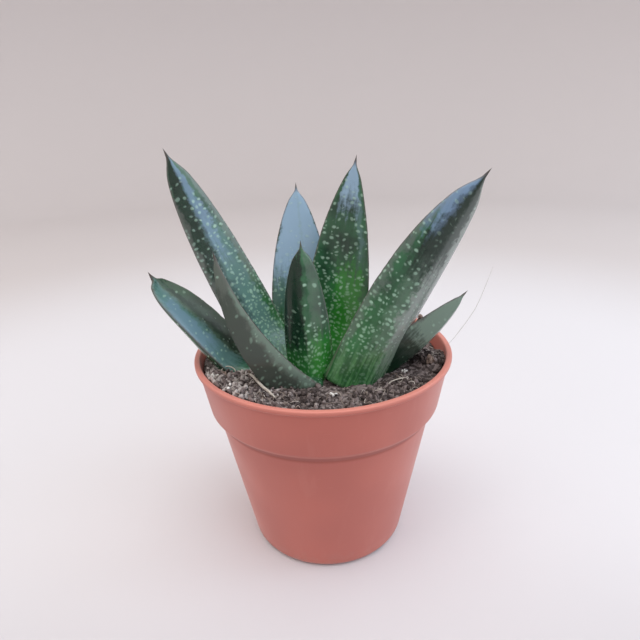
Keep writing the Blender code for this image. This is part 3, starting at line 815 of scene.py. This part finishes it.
def cut(piece, cutter):
    """Cuts the cutter out of the piece for good."""
    made = piece.modifiers.new("cut", "BOOLEAN")
    made.operation = "DIFFERENCE"
    made.solver = "EXACT"
    made.object = cutter
    bpy.context.view_layer.update()
    shaped = piece.evaluated_get(bpy.context.evaluated_depsgraph_get())
    mesh = bpy.data.meshes.new_from_object(shaped)
    piece.modifiers.remove(made)
    piece.data = mesh
    bpy.data.objects.remove(cutter, do_unlink=True)


def drain_hole(angle):
    place = (*polar(DRAIN_RING_RADIUS, angle), FLOOR_RECESS)
    size = dict(vertices=DRAIN_SIDES, radius=DRAIN_HOLE_RADIUS, depth=DRAIN_CUT)
    bpy.ops.mesh.primitive_cylinder_add(location=place, **size)
    return bpy.context.object


def notch_block(angle):
    bpy.ops.mesh.primitive_cube_add(size=1)
    block = bpy.context.object
    block.scale = (3 * FOOT_RING_WIDTH, NOTCH_WIDTH, 2 * NOTCH_HEIGHT)
    block.location = (*polar(FOOT_RADIUS - FOOT_RING_WIDTH / 2, angle), 0)
    block.rotation_euler = (0, 0, angle)
    return block


def make_pot():
    pot = turned("nursery_pot", pot_profile(), POT_STEPS, pot_plastic())
    for number in range(DRAIN_HOLES):
        cut(pot, drain_hole(DRAIN_TURN + 2 * math.pi * (number + 0.5) / DRAIN_HOLES))
    for number in range(NOTCHES):
        cut(pot, notch_block(NOTCH_TURN + 2 * math.pi * number / NOTCHES))
    pot.data.shade_smooth()
    pot.data.set_sharp_from_angle(angle=SHARP_EDGE)
    return belongs(pot, "pot_plastic", "pot")


# ---- leaves

def blade_section(leaf, share, angle):
    """One point of a cross-section as (across, up): a hollowed face above and a keeled back below."""
    left = min(1.0, (1 - share) / leaf["slim"])
    slim = 1 - (1 - left) ** SLIM_POWER
    taper = slim * (1 - share ** leaf["full"]) ** leaf["blunt"]
    half = leaf["width"] / 2 * MM * taper * (1 - BASE_PINCH * (1 - share) ** 3)
    full, blunt = DEPTH_POWERS
    depth = slim * leaf["thick"] * MM * (1 - share ** full) ** blunt * (1 - DEPTH_LOSS * share)
    hollow = leaf["hollow"] * MM * (1 - share) * taper
    heel = leaf["heel"] * MM * max(0, 1 - share / HEEL_SHARE) ** 2
    across, swing = polar(1, angle)
    if swing >= 0:
        up = heel * swing - hollow * swing * swing
    else:
        up = -depth * ((1 - leaf["keel"]) * -swing + leaf["keel"] * (1 - abs(across)))
    point = leaf.get("point", POINT_RADIUS) * MM
    return half * across + point * across, up + point * swing


def leaf_row(leaf, share, narrow):
    """A cross-section as a list of (across, up); narrow draws the last rows in to the point."""
    angles = [2 * math.pi * column / LEAF_COLUMNS for column in range(LEAF_COLUMNS)]
    outline = [blade_section(leaf, min(share, 1.0), angle) for angle in angles]
    return [(across * narrow, up * narrow) for across, up in outline]


def middle_line(leaf):
    """The leaf's foot, bend and tip as points, and the direction that its face looks to."""
    foot = Vector((leaf["base"][0] * MM, leaf["base"][1] * MM, SOIL_TOP_Z))
    tip = Vector(leaf["tip"]) * MM
    chord = (tip - foot).normalized()
    face = Vector((*polar(1, math.radians(leaf["face"])), FACE_RISE))
    face = (face - face.dot(chord) * chord).normalized()
    foot -= chord * LEAF_SUNK
    control = (foot + tip) / 2 - face * 2 * leaf["bow"] * MM + chord.cross(face) * 2 * leaf["sweep"] * MM
    return foot, control, tip, face


def along_leaf(leaf, t):
    """The leaf's middle line: a simple bend, with a hook before the tip on a leaf that has one."""
    foot, control, tip, _ = middle_line(leaf)
    hook = leaf.get("hook", 0) * MM * HOOK_FACTOR * t ** HOOK_POWER * (1 - t)
    return (1 - t) ** 2 * foot + 2 * t * (1 - t) * control + t * t * tip - Vector((0, 0, hook))


def distances(outline):
    """How far round the section each point is, in mm, from the face's middle, the back's and an edge."""
    closed = outline + outline[:1]
    run = [0.0]
    for one, other in zip(closed, closed[1:]):
        run.append(run[-1] + math.dist(one, other) / MM)
    quarter = LEAF_COLUMNS // 4
    return [length - run[quarter] for length in run], [length - run[3 * quarter] for length in run], run


def leaf_points(leaf):
    """The leaf's rows of points, what the skin's colours need at each point, the tip and the length."""
    foot, _, tip, face = middle_line(leaf)
    blade = 1 - POINT_LENGTH / (tip - foot).length
    edges = (0, LEAF_COLUMNS // 2, LEAF_COLUMNS)
    rows, faces_at, backs_at, margins, places = [], [], [], [], []
    for row in range(LEAF_ROWS + POINT_ROWS - 1):
        share = (row / (LEAF_ROWS - 1)) ** RING_CROWDING
        point_share = max(0, row - LEAF_ROWS + 1) / POINT_ROWS
        t = min(share, 1.0) * blade + point_share * (1 - blade)
        centre = along_leaf(leaf, t)
        run = (along_leaf(leaf, t + BEND_STEP) - along_leaf(leaf, t - BEND_STEP)).normalized()
        up = (face - face.dot(run) * run).normalized()
        side = up.cross(run)
        outline = leaf_row(leaf, share, 1 - point_share)
        on_face, on_back, length = distances(outline)
        rows.append([centre + side * across + up * rise for across, rise in outline])
        faces_at.append(on_face)
        backs_at.append(on_back)
        margins.append([min(abs(here - length[edge]) for edge in edges) for here in length[:LEAF_COLUMNS]])
        places.append(t)
    return rows, faces_at, backs_at, margins, places, tip, (tip - foot).length / MM


def roughen(mesh, margins, places):
    """Gentle swellings on the skin and a fine uneven edge, both fading out towards the tip."""
    outward = [vertex.normal.copy() for vertex in mesh.vertices]
    for number, margin in enumerate(margins):
        vertex = mesh.vertices[number]
        fade = max(0.0, 1 - places[number]) ** 0.5
        lump = noise.noise(vertex.co / SWELLING_LENGTH)
        tooth = max(0.0, noise.noise(vertex.co / TOOTH_LENGTH)) * max(0.0, 1 - margin / TOOTH_REACH)
        vertex.co += outward[number] * fade * (SWELLING * (lump - 0.5) - TOOTH_DEPTH * tooth)


def leaf_faces(faces_at, backs_at, places, length):
    """The leaf's faces, closed at both ends, and where each face's corners lie in the skin's pattern."""
    faces, skin_at = [], []
    for row in range(len(places) - 1):
        for column in range(LEAF_COLUMNS):
            at = faces_at if column < LEAF_COLUMNS // 2 else backs_at
            after = (column + 1) % LEAF_COLUMNS
            low, high = row * LEAF_COLUMNS, (row + 1) * LEAF_COLUMNS
            faces.append((low + column, low + after, high + after, high + column))
            for r, c in ((row, column), (row, column + 1), (row + 1, column + 1), (row + 1, column)):
                skin_at.append((at[r][c] + BACK_SHIFT * (at is backs_at), places[r] * length))
    end = len(places) * LEAF_COLUMNS
    top = end - LEAF_COLUMNS
    for column in range(LEAF_COLUMNS):
        after = (column + 1) % LEAF_COLUMNS
        faces.append((after, column, end))
        faces.append((top + column, top + after, end + 1))
        skin_at += [(0, 0)] * 3 + [(0, length)] * 3
    return faces, skin_at


def make_leaf(name, leaf):
    rows, faces_at, backs_at, margins, places, tip, length = leaf_points(leaf)
    faces, skin_at = leaf_faces(faces_at, backs_at, places, length)
    points = [point for row in rows for point in row] + [sum(rows[0], Vector()) / LEAF_COLUMNS, tip]
    piece = add_mesh(name + "_blade", points, faces, leaf_skin(name, leaf))
    mesh = piece.data
    layer = mesh.uv_layers.new(name="skin")
    shift = LETTER_SHIFT * len(name)
    layer.uv.foreach_set("vector", [value + shift for pair in skin_at for value in pair])
    flat_margins = [value for row in margins for value in row] + [5.0, 5.0]
    flat_places = [place for place in places for _ in range(LEAF_COLUMNS)] + [0.0, 1.0]
    on_back = [1.0 if column > LEAF_COLUMNS // 2 else 0.0 for column in range(LEAF_COLUMNS)]
    keep_values(mesh, "along", flat_places)
    keep_values(mesh, "margin", flat_margins)
    keep_values(mesh, "back", on_back * len(rows) + [0.0, 0.0])
    keep_values(mesh, "across", across_values(faces_at, backs_at))
    roughen(mesh, flat_margins, flat_places)
    keep_values(mesh, "rise", [(vertex.co.z - SOIL_TOP_Z) / MM for vertex in mesh.vertices])
    mesh.update()
    return belongs(piece, "leaf_skin", name)


def across_values(faces_at, backs_at):
    """Each point's place across its own side, from -1 to 1, row by row, and 0 for the two end points."""
    half = LEAF_COLUMNS // 2
    values = []
    for on_face, on_back in zip(faces_at, backs_at):
        face_reach = max(abs(on_face[0]), SMALLEST)
        back_reach = max(abs(on_back[half]), SMALLEST)
        values += [place / face_reach for place in on_face[:half + 1]]
        values += [place / back_reach for place in on_back[half + 1:LEAF_COLUMNS]]
    return values + [0.0, 0.0]


# ---- soil

def soil_height(x, y):
    away = math.hypot(PATCH_SQUASH * (x - CROWN.x), y - CROWN.y)
    rough = min(1.0, max(0.0, (away - CROWN_PATCH_RADIUS) / PATCH_EDGE))
    waves = math.sin(x / (4.1 * MM) + 0.6) * math.cos(y / (5.3 * MM))
    lean = -(x + y) / (2 * RIM_RADIUS)
    return SOIL_TOP_Z + rough * (SOIL_RELIEF * waves + SOIL_LEAN * lean)


def mound(x, y):
    """How far the mounds that lie against the rim lift the soil here."""
    lift = 0.0
    for (x0, y0), radius, height in MOUNDS:
        near = 1 - min(1.0, math.hypot(x / MM - x0, y / MM - y0) / radius) ** 2
        lift = max(lift, height * MM * min(1.0, MOUND_STEEPNESS * near))
    return lift


def crumbly(x, y):
    """The soil's top with its mounds and lumps: coarse ones of some millimetres and fine ones on them."""
    place = Vector((x, y, 0))
    coarse = noise.noise(place / COARSE_LENGTH)
    fine = noise.turbulence(place / FINE_LENGTH, 3, True)
    return soil_height(x, y) + mound(x, y) + COARSE_HEIGHT * coarse + FINE_HEIGHT * (fine - 0.45)


def make_soil():
    side = inner_profile(GAP)
    points = []
    rings = [ring(points, radius, SOIL_STEPS, z) for radius, z in [(0, side[0][1])] + side]
    edge = free_radius(SOIL_TOP_Z - SOIL_LEAN, 0)
    for number in range(SOIL_RINGS, -1, -1):
        rings.append(ring(points, edge * number / SOIL_RINGS, SOIL_STEPS, crumbly))
    soil = add_mesh("soil_plug", points, skin(rings, SOIL_STEPS), soil_mix("potting_soil_ground", "cells"))
    return belongs(soil, "potting_soil", "soil")


@functools.cache
def blob(detail):
    """The corners and faces of a round lump, to be copied, squashed and dented."""
    bpy.ops.mesh.primitive_ico_sphere_add(subdivisions=detail, radius=1)
    ball = bpy.context.object
    corners = [vertex.co.copy() for vertex in ball.data.vertices]
    faces = [tuple(face.vertices) for face in ball.data.polygons]
    bpy.data.objects.remove(ball, do_unlink=True)
    return corners, faces


class Heap:
    """Many small closed lumps and strands gathered in one mesh."""

    def __init__(self, seed):
        self.points = []
        self.faces = []
        self.tones = []
        self.dice = random.Random(seed)

    def lump(self, form, place, size):
        """A dented lump with this half size."""
        detail, stretch, dent = form
        corners, faces = blob(detail)
        first = len(self.points)
        turn = Euler([self.dice.uniform(0, 2 * math.pi) for _ in range(3)]).to_matrix()
        shift = Vector([self.dice.uniform(0, 50) for _ in range(3)])
        for corner in corners:
            bent = corner * (1 + dent * noise.noise(corner * 1.3 + shift))
            bent = Vector([value * factor for value, factor in zip(bent, stretch)])
            self.points.append(turn @ bent * size + place)
        self.tones += [self.dice.random()] * len(corners)
        self.faces += [[number + first for number in face] for face in faces]

    def draw(self, limits):
        """A random length between two limits given in millimetres."""
        return self.dice.uniform(*limits) * MM

    def strand(self, path, thickness, sides=5, taper=0.6):
        """A closed tube along a path of points, thinner at both ends."""
        across = (path[1] - path[0]).normalized().orthogonal().normalized()
        last = len(path) - 1
        rings = []
        for number, place in enumerate(path):
            run = (path[min(number + 1, last)] - path[max(number - 1, 0)]).normalized()
            across = (across - across.dot(run) * run).normalized()
            other = run.cross(across)
            radius = thickness / 2 * (1 - taper * abs(2 * number / last - 1) ** 3)
            rings.append([len(self.points) + step for step in range(sides)])
            for step in range(sides):
                x, y = polar(1, 2 * math.pi * step / sides)
                self.points.append(place + radius * (x * across + y * other))
        self.tones += [self.dice.random()] * (len(path) * sides)
        self.faces += skin(rings, sides) + [rings[0][::-1], rings[-1]]

    def roots(self, table):
        for thickness, sides, taper, route in table:
            self.strand(through(route), thickness * MM, sides, taper)

    def make(self, name, look):
        piece = add_mesh(name, self.points, self.faces, look)
        keep_values(piece.data, "tone", self.tones)
        return belongs(piece, "potting_soil")


class Ground:
    """Finds free places on the soil, outside the leaves."""

    def __init__(self, leaves):
        self.trees = []
        for leaf in leaves:
            corners = [vertex.co.copy() for vertex in leaf.data.vertices]
            faces = [tuple(face.vertices) for face in leaf.data.polygons]
            self.trees.append(BVHTree.FromPolygons(corners, faces))

    def inside_a_leaf(self, place):
        for tree in self.trees:
            nearest, normal, _, _ = tree.find_nearest(place)
            if (place - nearest).dot(normal) < 0:
                return True
        return False

    def spot(self, dice, margin=LUMP_MARGIN):
        """A random place on the soil, even over its area."""
        edge = free_radius(SOIL_TOP_Z, margin)
        while True:
            radius = edge * math.sqrt(dice.random())
            angle = dice.uniform(0, 2 * math.pi)
            x, y = polar(radius, angle)
            place = Vector((x, y, crumbly(x, y)))
            if not self.inside_a_leaf(place):
                return place

    def in_heap(self, dice, heap):
        """A random place in a heap given by centre, radius and height, all in millimetres."""
        (x0, y0), radius, height = heap
        away = radius * dice.random() ** 0.7
        angle = dice.uniform(0, 2 * math.pi)
        x, y = (x0 + away * math.cos(angle)) * MM, (y0 + 0.7 * away * math.sin(angle)) * MM
        pull = min(1.0, free_radius(POT_HEIGHT, HEAP_MARGIN) / math.hypot(x, y))
        x, y = x * pull, y * pull
        lift = height * MM * (1 - away / radius) * dice.random()
        return Vector((x, y, crumbly(x, y) + lift))


def make_crumbs(ground):
    heap = Heap(seed=11)
    for count, sizes, form, margin, lift in CRUMBS:
        for _ in range(count):
            size = heap.draw(sizes)
            place = ground.spot(heap.dice, margin * MM)
            heap.lump(form, place + Vector((0, 0, lift * size)), size)
    count, sizes, form = HEAPED_CRUMBS
    for zone in CRUMB_HEAPS:
        for _ in range(count):
            size = heap.draw(sizes)
            heap.lump(form, ground.in_heap(heap.dice, zone), size)
    return heap.make("soil_crumbs", soil_mix("potting_soil_crumbs", "tone"))


def curl(dice, start, length, lift):
    """A path that wanders over the soil and rises a little in its middle."""
    heading = dice.uniform(0, 2 * math.pi)
    bend = dice.uniform(-1.2, 1.2)
    count = 9
    path = []
    place = start.copy()
    for number in range(count):
        share = number / (count - 1)
        rise = lift * math.sin(math.pi * share)
        path.append(place + Vector((0, 0, rise)))
        heading += bend * 2.2 / count + dice.uniform(-0.25, 0.25)
        place = place + Vector((*polar(1, heading), 0)) * length / (count - 1)
        edge = free_radius(POT_HEIGHT, STRAND_MARGIN)
        away = math.hypot(place.x, place.y)
        if away > edge:
            place = place * (edge / away)
        place.z = crumbly(place.x, place.y) + 0.1 * MM
    return path


def make_fibres(ground):
    heap = Heap(seed=23)
    count, lengths, lifts, thicknesses = LOOSE_FIBRES
    for _ in range(count):
        start = ground.spot(heap.dice, margin=2 * MM)
        thickness = heap.draw(thicknesses)
        heap.strand(curl(heap.dice, start, heap.draw(lengths), heap.draw(lifts)), thickness)
    count, lengths, lifts, thicknesses = HEAPED_FIBRES
    for zone in CRUMB_HEAPS:
        for _ in range(count):
            start = ground.in_heap(heap.dice, zone)
            path = curl(heap.dice, start, heap.draw(lengths), heap.draw(lifts))
            lift = Vector((0, 0, max(0.0, start.z - crumbly(start.x, start.y)) * 0.7))
            heap.strand([point + lift for point in path], heap.draw(thicknesses))
    return heap.make("soil_fibres", fibre_mix())


def make_roots():
    heap = Heap(seed=31)
    heap.roots(PALE_ROOTS)
    return heap.make("soil_roots", plain_grain("root_pale", ROOT_PALE))


def through(route, steps=6):
    """A smooth path through a route's points, given in millimetres."""
    marks = [Vector(mark) * MM for mark in route]
    marks = [2 * marks[0] - marks[1]] + marks + [2 * marks[-1] - marks[-2]]
    path = []
    for a, b, c, d in zip(marks, marks[1:], marks[2:], marks[3:]):
        for step in range(steps):
            t = step / steps
            path.append(0.5 * (2 * b + (c - a) * t + (2 * a - 5 * b + 4 * c - d) * t * t
                               + (3 * b - a - 3 * c + d) * t ** 3))
    path.append(marks[-2])
    return path


def make_grains(ground):
    heap = Heap(seed=47)
    count, sizes, form = LOOSE_GRAINS
    for _ in range(count):
        heap.lump(form, ground.spot(heap.dice), heap.draw(sizes))
    count, sizes, form = CLUSTERED_GRAINS
    for zone in GRAIN_CLUSTERS:
        for _ in range(count):
            place = ground.in_heap(heap.dice, zone) + Vector((0, 0, GRAIN_LIFT))
            heap.lump(form, place, heap.draw(sizes))
    return heap.make("soil_grains", plain_grain("grain_white", GRAIN_WHITE))


def make_bark(ground):
    heap = Heap(seed=59)
    for x, y, lift, size in BARK:
        place = Vector((x * MM, y * MM, crumbly(x * MM, y * MM) + lift * MM))
        heap.lump(LARGE_BARK, place, size * MM)
    heap.roots(DRY_ROOTS)
    count, sizes, form = SMALL_BARK
    for _ in range(count):
        heap.lump(form, ground.spot(heap.dice, margin=2.5 * MM), heap.draw(sizes))
    return heap.make("soil_bark", plain_grain("bark_brown", BARK_BROWN, 0.9))


def make_stem():
    """The short stem, with rings of old leaf scars."""
    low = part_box("stem")[0].z - STEM_SUNK
    profile = [(0, low)]
    for number in range(STEM_RINGS):
        share = number / (STEM_RINGS - 1)
        scars = SCAR_DEPTH * math.sin(SCAR_WAVES * share) * (1 - share)
        profile.append((max(STEM_RADIUS * (1 - share ** 5) + scars, 0.0), low + share * STEM_HEIGHT))
    return belongs(turned("stem_stub", profile, STEM_STEPS, stem_bark(), CROWN), "stem_tissue", "stem")


# ---- room, light and camera

def make_floor():
    """One pale sheet: flat under the pot, bending up all round."""
    profile = [(0, 0), (FLOOR_FLAT, 0)]
    for step in range(1, BEND_STEPS + 1):
        angle = math.radians(90) * step / BEND_STEPS
        profile.append((FLOOR_FLAT + FLOOR_BEND * math.sin(angle), FLOOR_BEND * (1 - math.cos(angle))))
    profile.append((FLOOR_FLAT + FLOOR_BEND, FLOOR_TOP))
    turned("floor", profile, FLOOR_STEPS, floor_sheet())


def softbox(name, azimuth, elevation, distance, width, height, colour, radiance, mirrored):
    turn, rise = math.radians(azimuth), math.radians(elevation)
    away = Vector((math.sin(turn) * math.cos(rise), -math.cos(turn) * math.cos(rise), math.sin(rise)))
    light = bpy.data.lights.new(name, "AREA")
    light.shape = "RECTANGLE"
    light.size = width
    light.size_y = height
    light.color = colour
    light.energy = math.pi * width * height * radiance
    lamp = add_object(name, light)
    lamp.location = LIGHT_AIM + away * distance
    lamp.rotation_euler = (-away).to_track_quat("-Z", "Y").to_euler()
    lamp.visible_camera = False
    lamp.visible_glossy = mirrored


def make_world():
    """Soft light from all round: the backdrop's colour at the horizon, whiter and brighter overhead."""
    bpy.context.scene.world = bpy.data.worlds.new("studio")
    graph = Graph(bpy.context.scene.world)
    up = graph.part(graph.add("ShaderNodeTexCoord", {}).outputs["Generated"], "Z")
    rise = graph.add("ShaderNodeMapRange", {"Value": up, "From Min": 0.25, "From Max": 0.9})
    colour = graph.mix(rise.outputs["Result"], HORIZON_LIGHT, OVERHEAD_LIGHT)
    graph.put(colour, graph.tree.nodes["Background"].inputs["Color"])


def make_light():
    make_world()
    for name, light in LIGHTS.items():
        softbox(name, *light)
    bpy.context.scene.view_settings.view_transform = "Standard"


def make_camera():
    data = bpy.data.cameras.new("camera")
    data.lens = CAMERA_LENS
    data.sensor_width = FILM_WIDTH
    data.clip_start = CLIP_START
    camera = add_object("camera", data)
    look = (CAMERA_AIM - CAMERA_PLACE).to_track_quat("-Z", "Y").to_matrix()
    camera.location = CAMERA_PLACE
    camera.rotation_euler = (look @ Euler((0, 0, CAMERA_ROLL)).to_matrix()).to_euler()
    bpy.context.scene.camera = camera


def main():
    make_camera()
    make_light()
    make_floor()
    make_pot()
    make_stem()
    make_soil()
    ground = Ground([make_leaf(name, leaf) for name, leaf in LEAVES.items()])
    make_crumbs(ground)
    make_fibres(ground)
    make_roots()
    make_grains(ground)
    make_bark(ground)


main()
